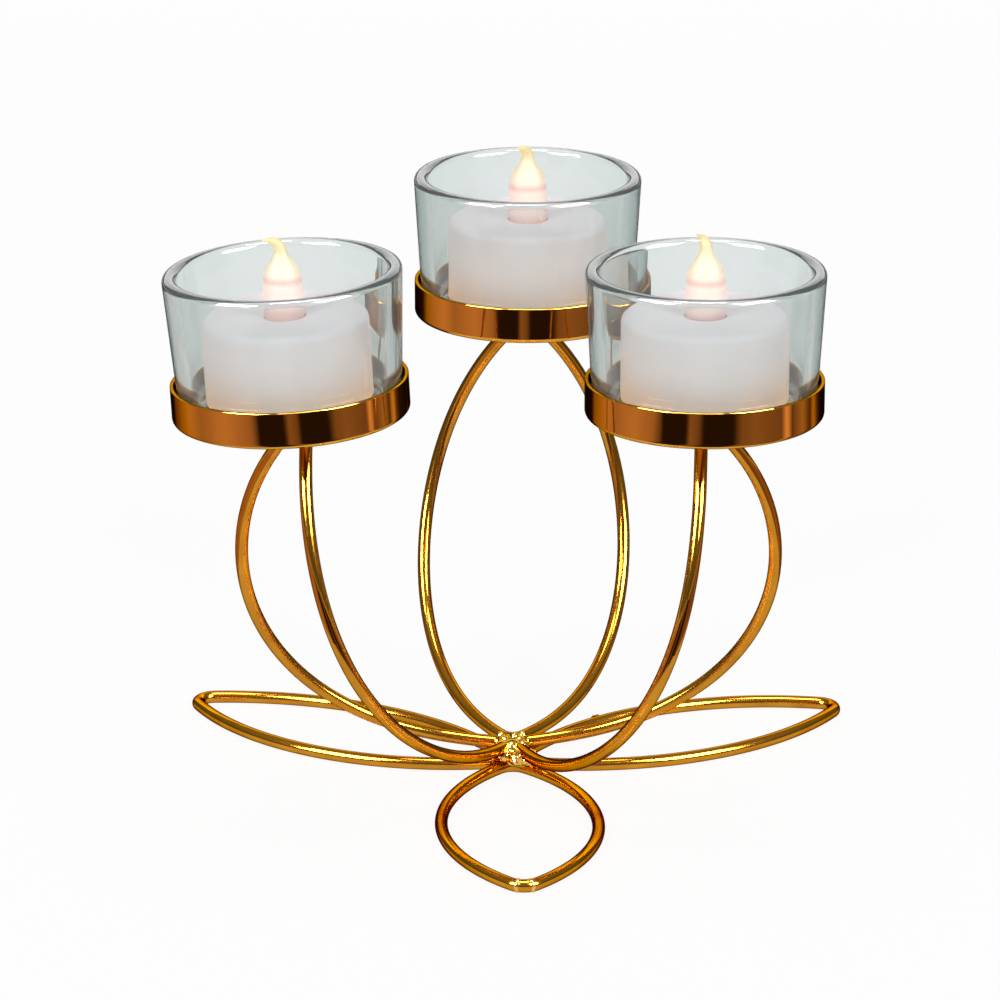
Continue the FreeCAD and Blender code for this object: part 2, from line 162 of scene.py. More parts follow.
@dataclass(frozen=True)
class PlatedMetal:
    """Bright electroplate on steel: mirror-like, deeper in tone where it is thick.

    The plating clouds a little over some millimetres and has a faint orange-peel skin. Gold on steel
    gives a warm amber. The edge tint colours the reflection at grazing angles; on the gold finishes it
    is a dark olive, a painted dark reflection that darkens the edges of a wire.
    """

    name: str
    colour: str
    deep_colour: str
    edge_tint_and_painted_edge_shade: str
    roughness: float
    rough_spread: float
    cloud_size: float
    skin_size: float
    skin_depth: float
    stretch: tuple[float, float, float] = (1.0, 1.0, 1.0)
    cloud_low: float = 0.3
    cloud_high: float = 0.7

    def make(self) -> bpy.types.Material:
        """Build the material."""
        material, tree, output = new_tree(self.name)
        place = add_node(tree, "ShaderNodeTexCoord").outputs["Object"]
        place = add_node(tree, "ShaderNodeMapping", {"Vector": place, "Scale": self.stretch}).outputs[0]
        cloud = add_node(
            tree,
            "ShaderNodeTexNoise",
            {"Vector": place, "Scale": per_size(self.cloud_size), "Detail": 3.0},
        )
        skin = add_node(
            tree,
            "ShaderNodeTexNoise",
            {"Vector": place, "Scale": per_size(self.skin_size), "Detail": 1.0},
        )
        tone = add_node(
            tree,
            "ShaderNodeMix",
            {"Factor": cloud.outputs[0], 6: linear(self.colour), 7: linear(self.deep_colour)},
            data_type="RGBA",
        )
        rough = add_node(
            tree,
            "ShaderNodeMapRange",
            {
                "Value": cloud.outputs[0],
                "From Min": self.cloud_low,
                "From Max": self.cloud_high,
                "To Min": self.roughness,
                "To Max": self.roughness + self.rough_spread,
            },
        )
        bump = add_node(
            tree,
            "ShaderNodeBump",
            {"Height": skin.outputs[0], "Strength": 1.0, "Distance": self.skin_depth * MM},
        )
        shader = add_node(
            tree,
            "ShaderNodeBsdfPrincipled",
            {
                "Base Color": tone.outputs[2],
                "Metallic": 1.0,
                "Roughness": rough.outputs[0],
                # Edge tint: a plain white edge on the steel finishes, a painted dark reflection on the
                # gold ones
                "Specular Tint": linear(self.edge_tint_and_painted_edge_shade),
                "Normal": bump.outputs[0],
            },
        )
        tree.links.new(shader.outputs[0], output.inputs["Surface"])
        return material


@dataclass(frozen=True)
class PressedGlass:
    """Thick pressed soda-lime glass, fire polished: clear through a wall, sea green along its depth.

    The skin has the slow upright ripple of hot glass drawn off its mould, and a faint smear of handling.
    """

    name: str
    tint: str
    streak_tint: str
    depth_tint: str
    depth_density: float
    ripple_size: float
    ripple_depth: float
    smear_size: float
    smear_roughness: float
    roughness: float = 0.0
    clearness: float = 0.93
    ior: float = 1.5
    drawn_out: float = 0.2
    smear_low: float = 0.45
    smear_high: float = 0.75

    def make(self) -> bpy.types.Material:
        """Build the material."""
        material, tree, output = new_tree(self.name)
        place = add_node(tree, "ShaderNodeTexCoord").outputs["Object"]
        tall = (1.0, 1.0, self.drawn_out)
        upright = add_node(tree, "ShaderNodeMapping", {"Vector": place, "Scale": tall}).outputs[0]
        ripple = add_node(
            tree,
            "ShaderNodeTexNoise",
            {"Vector": upright, "Scale": per_size(self.ripple_size), "Detail": 1.0},
        )
        smear = add_node(
            tree,
            "ShaderNodeTexNoise",
            {"Vector": upright, "Scale": per_size(self.smear_size), "Detail": 3.0},
        )
        tone = add_node(
            tree,
            "ShaderNodeMix",
            {"Factor": smear.outputs[0], 6: linear(self.tint), 7: linear(self.streak_tint)},
            data_type="RGBA",
        )
        rough = add_node(
            tree,
            "ShaderNodeMapRange",
            {
                "Value": smear.outputs[0],
                "From Min": self.smear_low,
                "From Max": self.smear_high,
                "To Min": self.roughness,
                "To Max": self.roughness + self.smear_roughness,
            },
        )
        bump = add_node(
            tree,
            "ShaderNodeBump",
            {"Height": ripple.outputs[0], "Strength": 1.0, "Distance": self.ripple_depth * MM},
        )
        shader = add_node(
            tree,
            "ShaderNodeBsdfPrincipled",
            {
                "Base Color": tone.outputs[2],
                "Roughness": rough.outputs[0],
                "IOR": self.ior,
                "Transmission Weight": self.clearness,
                "Normal": bump.outputs[0],
            },
        )
        depth = add_node(
            tree,
            "ShaderNodeVolumeAbsorption",
            {"Color": linear(self.depth_tint), "Density": self.depth_density},
        )
        tree.links.new(shader.outputs[0], output.inputs["Surface"])
        tree.links.new(depth.outputs[0], output.inputs["Volume"])
        return material


@dataclass(frozen=True)
class MouldedPlastic:
    """Injection-moulded plastic: satin skin, fine spark-eroded grain and a slight mottle; its glow is
    real light on the diode, painted glow on the casing.
    """

    name: str
    colour: str
    shade_colour: str
    roughness: float
    mottle_size: float
    grain_size: float
    grain_depth: float
    glow_colour: str = "#000000"
    glow: float = 0.0
    softness: float = 0.0
    gloss: float = 0.5
    scatter: tuple[float, float, float] = (1.0, 0.9, 0.85)
    scatter_depth: float = 2.0
    ior: float = 1.49

    def make(self) -> bpy.types.Material:
        """Build the material."""
        material, tree, output = new_tree(self.name)
        place = add_node(tree, "ShaderNodeTexCoord").outputs["Object"]
        mottle = add_node(
            tree,
            "ShaderNodeTexNoise",
            {"Vector": place, "Scale": per_size(self.mottle_size), "Detail": 2.0},
        )
        grain = add_node(
            tree,
            "ShaderNodeTexNoise",
            {"Vector": place, "Scale": per_size(self.grain_size), "Detail": 2.0},
        )
        tone = add_node(
            tree,
            "ShaderNodeMix",
            {"Factor": mottle.outputs[0], 6: linear(self.colour), 7: linear(self.shade_colour)},
            data_type="RGBA",
        )
        bump = add_node(
            tree,
            "ShaderNodeBump",
            {"Height": grain.outputs[0], "Strength": 1.0, "Distance": self.grain_depth * MM},
        )
        shader = add_node(
            tree,
            "ShaderNodeBsdfPrincipled",
            {
                "Base Color": tone.outputs[2],
                "Roughness": self.roughness,
                "IOR": self.ior,
                "Specular IOR Level": self.gloss,
                "Subsurface Weight": self.softness,
                "Subsurface Radius": self.scatter,
                "Subsurface Scale": self.scatter_depth * MM,
                "Emission Color": linear(self.glow_colour),
                "Emission Strength": self.glow,
                "Normal": bump.outputs[0],
            },
        )
        tree.links.new(shader.outputs[0], output.inputs["Surface"])
        return material


@dataclass(frozen=True)
class FlameCap:
    """Frosted cap lit from inside: cream towards the tip, with the pale rose rings of the diode."""

    name: str
    stops: tuple[tuple[float, str], ...]
    glow: float
    roughness: float = 0.6
    mottle_size: float = 3.0
    mottle_depth: float = 0.03
    softness: float = 0.6
    scatter: tuple[float, float, float] = (1.0, 0.8, 0.5)
    scatter_depth: float = 2.0
    ior: float = 1.49

    def make(self, foot: float, tip: float) -> bpy.types.Material:
        """Build the material of one cap.

        Args:
            foot: The height of the cap's foot in metres.
            tip: The height of its tip.

        Returns:
            The material.
        """
        material, tree, output = new_tree(self.name)
        place = add_node(tree, "ShaderNodeTexCoord").outputs["Object"]
        axes = add_node(tree, "ShaderNodeSeparateXYZ", {"Vector": place})
        rise = add_node(
            tree, "ShaderNodeMapRange", {"Value": axes.outputs["Z"], "From Min": foot, "From Max": tip}
        )
        cloud = add_node(
            tree,
            "ShaderNodeTexNoise",
            {"Vector": place, "Scale": per_size(self.mottle_size), "Detail": 2.0},
        )
        tone = add_node(tree, "ShaderNodeValToRGB", {"Fac": rise.outputs[0]})
        ramp = tone.color_ramp.elements
        ramp[0].position, ramp[0].color = self.stops[0][0], linear(self.stops[0][1])
        ramp[1].position, ramp[1].color = self.stops[-1][0], linear(self.stops[-1][1])
        for level, code in self.stops[1:-1]:
            ramp.new(level).color = linear(code)
        bump = add_node(
            tree,
            "ShaderNodeBump",
            {"Height": cloud.outputs[0], "Strength": 1.0, "Distance": self.mottle_depth * MM},
        )
        shader = add_node(
            tree,
            "ShaderNodeBsdfPrincipled",
            {
                "Base Color": tone.outputs[0],
                "Roughness": self.roughness,
                "IOR": self.ior,
                "Subsurface Weight": self.softness,
                "Subsurface Radius": self.scatter,
                "Subsurface Scale": self.scatter_depth * MM,
                "Emission Color": tone.outputs[0],
                "Emission Strength": self.glow,
                "Normal": bump.outputs[0],
            },
        )
        tree.links.new(shader.outputs[0], output.inputs["Surface"])
        return material


GOLD_WIRE = PlatedMetal(
    name="gold electroplate on drawn steel wire",
    colour="#d4982e",
    deep_colour="#a86820",
    # Painted dark reflection: the dark olive edge tint darkens the wire's silhouettes
    edge_tint_and_painted_edge_shade="#3c4424",
    roughness=0.10,
    rough_spread=0.05,
    cloud_size=6.0,
    skin_size=1.2,
    skin_depth=0.001,
)
GOLD_TRAY = PlatedMetal(
    name="gold electroplate on stamped steel",
    colour="#e0a848",
    deep_colour="#c98c34",
    # Painted dark reflection: the olive edge tint darkens the tray's edges at grazing angles
    edge_tint_and_painted_edge_shade="#6c7450",
    roughness=0.03,
    rough_spread=0.04,
    cloud_size=6.0,
    skin_size=5.0,
    skin_depth=0.05,
    stretch=(1.0, 1.0, 0.2),
)
# Painted highlight: a lighter copy of the wire's gold plating so the weld reads bright; its dark edge
# tint is a painted dark reflection
WELD_BEAD = PlatedMetal(
    name="gold electroplate on a weld, painted lighter",
    colour="#f4c970",
    deep_colour="#d09838",
    edge_tint_and_painted_edge_shade="#5a4c24",
    roughness=0.10,
    rough_spread=0.08,
    cloud_size=2.0,
    skin_size=1.2,
    skin_depth=0.05,
)
CELL_STEEL = PlatedMetal(
    name="nickel-plated steel can",
    colour="#c9c9c7",
    deep_colour="#b4b4b2",
    edge_tint_and_painted_edge_shade="#ffffff",
    roughness=0.22,
    rough_spread=0.1,
    cloud_size=3.0,
    skin_size=0.4,
    skin_depth=0.003,
)
CONTACT_STRIP = PlatedMetal(
    name="tinned spring strip",
    colour="#c4bfb2",
    deep_colour="#a9a496",
    edge_tint_and_painted_edge_shade="#ffffff",
    roughness=0.3,
    rough_spread=0.12,
    cloud_size=2.0,
    skin_size=0.3,
    skin_depth=0.004,
)
CLEAR_GLASS = PressedGlass(
    name="pressed soda-lime glass",
    tint="#f7faf9",
    streak_tint="#fdfefe",
    depth_tint="#8ab4ae",
    depth_density=85.0,
    ripple_size=7.0,
    ripple_depth=0.05,
    smear_size=5.0,
    smear_roughness=0.04,
)
GROUND_GLASS = PressedGlass(
    name="ground glass foot",
    tint="#e6eae9",
    streak_tint="#f2f4f3",
    depth_tint="#8ab4ae",
    depth_density=85.0,
    ripple_size=7.0,
    ripple_depth=0.05,
    smear_size=2.0,
    smear_roughness=0.2,
    roughness=0.5,
    clearness=0.3,
)
WHITE_CASING = MouldedPlastic(
    name="white polypropylene casing",
    colour="#faf4f7",
    shade_colour="#f4ecf1",
    roughness=0.55,
    mottle_size=9.0,
    grain_size=0.5,
    grain_depth=0.006,
    # Painted glow: the casing is no lamp; this faint rose emission brightens it behind the glass
    glow_colour="#ffd8e0",
    glow=0.02,
    softness=0.3,
    gloss=0.0,
)
WHITE_BASE = MouldedPlastic(
    name="white polypropylene base",
    colour="#ececec",
    shade_colour="#e0e0e2",
    roughness=0.5,
    mottle_size=7.0,
    grain_size=0.5,
    grain_depth=0.01,
)
BLACK_KNOB = MouldedPlastic(
    name="black ABS knob",
    colour="#1b1b1d",
    shade_colour="#131314",
    roughness=0.45,
    mottle_size=2.0,
    grain_size=0.3,
    grain_depth=0.01,
)
DIODE = MouldedPlastic(
    name="warm diode epoxy",
    colour="#fff0c8",
    shade_colour="#ffe6b0",
    roughness=0.1,
    mottle_size=2.0,
    grain_size=0.6,
    grain_depth=0.001,
    glow_colour="#ffd890",
    glow=1.0,
)
FLAME = FlameCap(
    name="frosted flame cap",
    stops=(
        (0.0, "#eecdc6"),
        (0.10, "#f2e4de"),
        (0.36, "#f4eae2"),
        (0.43, "#ecccc2"),
        (0.50, "#f6ecd8"),
        (0.75, "#f5e9c0"),
        (1.0, "#ecd694"),
    ),
    glow=0.08,
)


# Turned pieces


@dataclass(frozen=True)
class Corner:
    """A corner of a turned profile: its distance from the axis, its height and its rounding, in mm."""

    radius: float
    height: float
    rounding: float = 0.0
    steps: int = 5

    def holds(self, edge: bmesh.types.BMEdge) -> bool:
        """Tell whether an edge of the turned shape runs round at this corner."""
        return all(
            abs(math.hypot(vert.co.x, vert.co.y) - self.radius * MM) < SAME_PLACE
            and abs(vert.co.z - self.height * MM) < SAME_PLACE
            for vert in edge.verts
        )


def turned(corners: Sequence[Corner], steps: int = 144) -> bmesh.types.BMesh:
    """Spin a closed profile about Z and round its corners.

    Args:
        corners: The profile's corners in order; where it starts on the axis it also ends there.
        steps: How many flats go round the piece.

    Returns:
        The turned shape.
    """
    shape = bmesh.new()
    points = [shape.verts.new((corner.radius * MM, 0.0, corner.height * MM)) for corner in corners]
    ends = points[1:] if corners[0].radius == 0.0 else points[1:] + points[:1]
    edges = [shape.edges.new(pair) for pair in zip(points, ends)]
    bmesh.ops.spin(
        shape,
        geom=points + edges,
        cent=(0.0, 0.0, 0.0),
        axis=(0.0, 0.0, 1.0),
        angle=2 * math.pi,
        steps=steps,
        use_merge=True,
    )
    bmesh.ops.remove_doubles(shape, verts=shape.verts, dist=MERGE_GAP)
    bmesh.ops.recalc_face_normals(shape, faces=shape.faces)
    for corner in corners:
        if corner.rounding:
            bmesh.ops.bevel(
                shape,
                geom=[edge for edge in shape.edges if corner.holds(edge)],
                offset=corner.rounding * MM,
                offset_type="OFFSET",
                affect="EDGES",
                segments=corner.steps,
                profile=0.5,
                material=-1,
            )
    return shape


def settle(
    name: str,
    shape: bmesh.types.BMesh,
    material: bpy.types.Material,
    body: str,
    replaced: Sequence[str] = (),
) -> bpy.types.Object:
    """Make a piece of a shape and fix it in the frame.

    Args:
        name: The piece's name.
        shape: Its form in place, which is used up.
        material: Its finish.
        body: The body that it rides on.
        replaced: The nodes that it stands for.

    Returns:
        The piece.
    """
    mesh = bpy.data.meshes.new(name)
    for face in shape.faces:
        face.smooth = True
    shape.to_mesh(mesh)
    shape.free()
    piece = bpy.data.objects.new(name, mesh)
    bpy.context.scene.collection.objects.link(piece)
    dress(piece, material)
    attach(piece, body)
    if replaced:
        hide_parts(*replaced)
    log.info("made %s: %d faces", name, len(mesh.polygons))
    return piece


@dataclass(frozen=True)
class CupAxis:
    """Where a cup stands: the tealight's foot, and its own across, along and up directions."""

    side: Side
    door_middle: float = 1.4

    def place(self, height: float) -> Matrix:
        """Return the placement on the cup's axis at a height in mm above the tealight's foot."""
        ways = {joint["name"]: Vector(joint["axis"]).normalized() for joint in frame["joints"]}
        up = ways[f"{self.side.value}_candle_lift"]
        along = ways[f"{self.side.value}_switch_slide"]
        low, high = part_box(f"{self.side.value}_battery_door")
        foot = (low + high) / 2 + up * (height - self.door_middle) * MM
        turn = Matrix((along.cross(up), along, up)).transposed().to_4x4()
        return Matrix.Translation(foot) @ turn


@dataclass
class Dish:
    """The stamped tray under a glass, in mm: a flat floor, a soft bottom edge and a rolled rim."""

    axis: CupAxis
    level: float = -5.0
    radius: float = 27.06
    sheet: float = 0.9
    height: float = 8.6
    edge_rounding: float = 1.3
    inner_rounding: float = 0.6
    rim_rounding: float = 0.25

    def build(self, material: bpy.types.Material) -> None:
        """Make the tray."""
        inner = self.radius - self.sheet
        shape = turned(
            (
                Corner(0.0, 0.0),
                Corner(self.radius, 0.0, self.edge_rounding, 8),
                Corner(self.radius, self.height, self.rim_rounding),
                Corner(inner, self.height, self.rim_rounding),
                Corner(inner, self.sheet, self.inner_rounding),
                Corner(0.0, self.sheet),
            ),
            192,
        )
        bmesh.ops.transform(shape, matrix=self.axis.place(self.level), verts=shape.verts)
        side = self.axis.side.value
        piece = settle(f"{side}_dish", shape, material, "stand", [f"{side}_tray"])
        piece.modifiers.new("even light", "WEIGHTED_NORMAL")


@dataclass
class Cup:
    """The thick glass, in mm: a foot ring, a tapered wall and a fire-polished rim."""

    axis: CupAxis
    level: float = -4.1
    base_radius: float = 25.2
    flare: float = 2.0
    height: float = 33.3
    wall: float = 3.4
    floor: float = 4.1
    foot_depth: float = 0.5
    foot_width: float = 5.0
    edge_rounding: float = 2.5
    inner_rounding: float = 2.0
    rim_rounding: float = 1.53
    ground_height: float = 6.5

    def build(self, material: bpy.types.Material, ground: bpy.types.Material) -> None:
        """Make the glass.

        Args:
            material: The clear glass.
            ground: The ground glass of the foot, as high as the tray hides it.
        """
        rim = self.base_radius + self.flare
        floor_radius = self.base_radius + self.flare * self.floor / self.height - self.wall
        foot = self.base_radius - self.foot_width
        shape = turned(
            (
                Corner(0.0, self.foot_depth),
                Corner(foot - self.foot_depth, self.foot_depth, self.foot_depth),
                Corner(foot, 0.0, self.foot_depth / 2),
                Corner(self.base_radius, 0.0, self.edge_rounding, 8),
                Corner(rim, self.height, self.rim_rounding, 8),
                Corner(rim - self.wall, self.height, self.rim_rounding, 8),
                Corner(floor_radius, self.floor, self.inner_rounding, 8),
                Corner(0.0, self.floor),
            ),
            192,
        )
        bmesh.ops.bisect_plane(
            shape,
            geom=shape.verts[:] + shape.edges[:] + shape.faces[:],
            plane_co=(0.0, 0.0, self.ground_height * MM),
            plane_no=(0.0, 0.0, 1.0),
        )
        for face in shape.faces:
            middle = face.calc_center_median()
            outside = face.normal.dot(Vector((middle.x, middle.y, 0.0))) > 0.0 or face.normal.z < -0.5
            face.material_index = 1 if outside and middle.z < self.ground_height * MM else 0
        bmesh.ops.transform(shape, matrix=self.axis.place(self.level), verts=shape.verts)
        side = self.axis.side.value
        piece = settle(f"{side}_cup", shape, material, f"{side}_glass", [f"{side}_glass"])
        piece.data.materials.append(ground)
        piece.modifiers.new("even light", "WEIGHTED_NORMAL")
        # Light that falls through the glass reaches the tealight
        piece.visible_shadow = False
        piece.visible_diffuse = False


@dataclass
class Casing:
    """The tealight's casing, in mm: a parting groove, a soft shoulder and a slightly dished top."""

    axis: CupAxis
    radius: float = 19.0
    height: float = 19.0
    wall: float = 1.2
    hole_radius: float = 4.75
    shoulder: float = 1.6
    dish_depth: float = 0.3
    dish_radius: float = 6.5
    groove_level: float = 2.2
    groove_depth: float = 0.22
    inner_rounding: float = 0.6
    foot_rounding: float = 0.4
    inner_foot_rounding: float = 0.2
    dish_rounding: float = 0.3
    hole_rounding: float = 0.25

    def build(self, material: bpy.types.Material) -> None:
        """Make the casing."""
        inner = self.radius - self.wall
        top = self.height - self.dish_depth
        ceiling = self.height - self.wall
        shape = turned(
            (
                Corner(inner, 0.0, self.inner_foot_rounding, 2),
                Corner(self.radius, 0.0, self.foot_rounding, 4),
                Corner(self.radius, self.groove_level - self.groove_depth),
                Corner(self.radius - self.groove_depth, self.groove_level),
                Corner(self.radius, self.groove_level + self.groove_depth),
                Corner(self.radius, self.height, self.shoulder, 10),
                Corner(self.dish_radius, top, self.dish_rounding, 3),
                Corner(self.hole_radius, top, self.hole_rounding, 3),
                Corner(self.hole_radius, ceiling),
                Corner(inner, ceiling, self.inner_rounding, 4),
            )
        )
        bmesh.ops.transform(shape, matrix=self.axis.place(0.0), verts=shape.verts)
        side = self.axis.side.value
        nodes = [f"{side}_candle_shell"]
        piece = settle(f"{side}_casing", shape, material, f"{side}_candle", nodes)
        piece.modifiers.new("even light", "WEIGHTED_NORMAL")


# Welds


@dataclass
class HubBead:
    """The lumpy weld that joins the loops at the hub: a core with drips and spatter, in mm."""

    lumps: tuple[tuple[float, float, float, float], ...] = (
        (0.0, 0.0, 2.6, 2.4),
        (0.2, 0.1, 6.0, 2.6),
        (-2.3, -4.0, 6.4, 2.0),
        (2.5, -4.0, 6.4, 2.1),
        (0.1, -3.4, 6.4, 2.2),
        (2.2, -5.4, 4.6, 2.5),
        (0.2, -5.2, 4.4, 2.1),
        (4.3, -4.8, 4.8, 1.8),
        (-1.9, -5.2, 4.9, 1.6),
        (-1.8, -1.6, 6.8, 1.9),
        (1.8, -1.6, 6.8, 1.9),
        (-2.6, 1.8, 7.2, 1.2),
        (2.4, 1.6, 7.4, 1.2),
        (0.7, -0.8, 8.0, 1.2),
        (2.4, -7.4, 5.4, 2.0),
        (3.9, -7.2, 5.0, 1.7),
        (1.0, -7.2, 5.0, 1.7),
        (1.6, -8.8, 5.8, 0.8),
        (2.9, -9.0, 4.9, 0.9),
        (4.1, -8.5, 5.6, 0.8),
        (0.9, -8.5, 4.6, 0.8),
        (2.5, -8.5, 6.6, 0.8),
    )
    ripple: float = 0.3
    ripple_size: float = 1.6
    grain: float = 0.22
    flow: float = 0.5
    flow_rounds: int = 4
    seed: float = 4.0

    def build(self, material: bpy.types.Material) -> None:
        """Make the bead."""
        shape = bmesh.new()
        for x, y, z, radius in self.lumps:
            spot = Matrix.Translation(Vector((x, y, z)) * MM)
            made = bmesh.ops.create_icosphere(shape, subdivisions=3, radius=radius * MM, matrix=spot)
            for vert in made["verts"]:
                away = (vert.co - spot.translation).normalized()
                wave = noise.noise(vert.co / (self.ripple_size * MM) + Vector((self.seed, 0.0, 0.0)))
                vert.co += away * wave * self.ripple * MM
        piece = settle("hub_bead", shape, material, "stand", ["hub_weld"])
        fuse = piece.modifiers.new("melted together", "REMESH")
        fuse.mode = "VOXEL"
        fuse.voxel_size = self.grain * MM
        fuse.use_smooth_shade = True
        ease = piece.modifiers.new("flow", "SMOOTH")
        ease.factor = self.flow
        ease.iterations = self.flow_rounds


@dataclass
class ButtWeld:
    """Where the two ends of a loop's wire meet: two upset ridges round the wire, in mm.

    The ridges follow the arc that the wire makes there. Outward is the way from the arc's middle.
    """

    name: str
    place: tuple[float, float]
    outward_angle: float
    arc_radius: float
    ridge: float = 0.3
    ridge_place: float = 1.55
    ridge_reach: float = 0.5
    wire_radius: float = 1.5
    sink: float = 0.12
    inner_sink: float = 0.48

    def build(self, material: bpy.types.Material) -> None:
        """Make the ridges."""
        low = self.wire_radius - self.sink
        crest = self.wire_radius + self.ridge
        inner = self.wire_radius - self.inner_sink
        profile = []
        for middle in (-self.ridge_place, self.ridge_place):
            profile.append(Corner(low, middle - self.ridge_reach))
            profile.append(Corner(crest, middle))
            profile.append(Corner(low, middle + self.ridge_reach))
        reach = self.ridge_place + self.ridge_reach
        profile += [Corner(inner, reach), Corner(inner, -reach)]
        shape = turned(profile, 48)
        turn = Matrix.Rotation(math.radians(self.outward_angle), 4, "Z")
        radius = self.arc_radius * MM
        for vert in shape.verts:
            bend = vert.co.z / radius
            out = (radius + vert.co.x) * math.cos(bend) - radius
            vert.co = (out, (radius + vert.co.x) * math.sin(bend), vert.co.y)
        shift = Matrix.Translation(Vector((*self.place, self.wire_radius)) * MM)
        bmesh.ops.transform(shape, matrix=shift @ turn, verts=shape.verts)
        for vert in shape.verts:
            vert.co.z = max(vert.co.z, 0.0)
        bmesh.ops.recalc_face_normals(shape, faces=shape.faces)
        piece = settle(self.name, shape, material, "stand")
        soft = piece.modifiers.new("soft ridges", "SUBSURF")
        soft.levels = soft.render_levels = 1


# Studio


@dataclass(frozen=True)
class SoftBox:
    """A lamp that faces the object, in metres and watts."""

    name: str
    place: tuple[float, float, float]
    size: tuple[float, float]
    power: float
    in_metal: bool = False


@dataclass(frozen=True)
class Panel:
    """A bright card that only polished surfaces show, for their long highlights, in metres."""

    name: str
    place: tuple[float, float, float]
    size: tuple[float, float]
    level: float


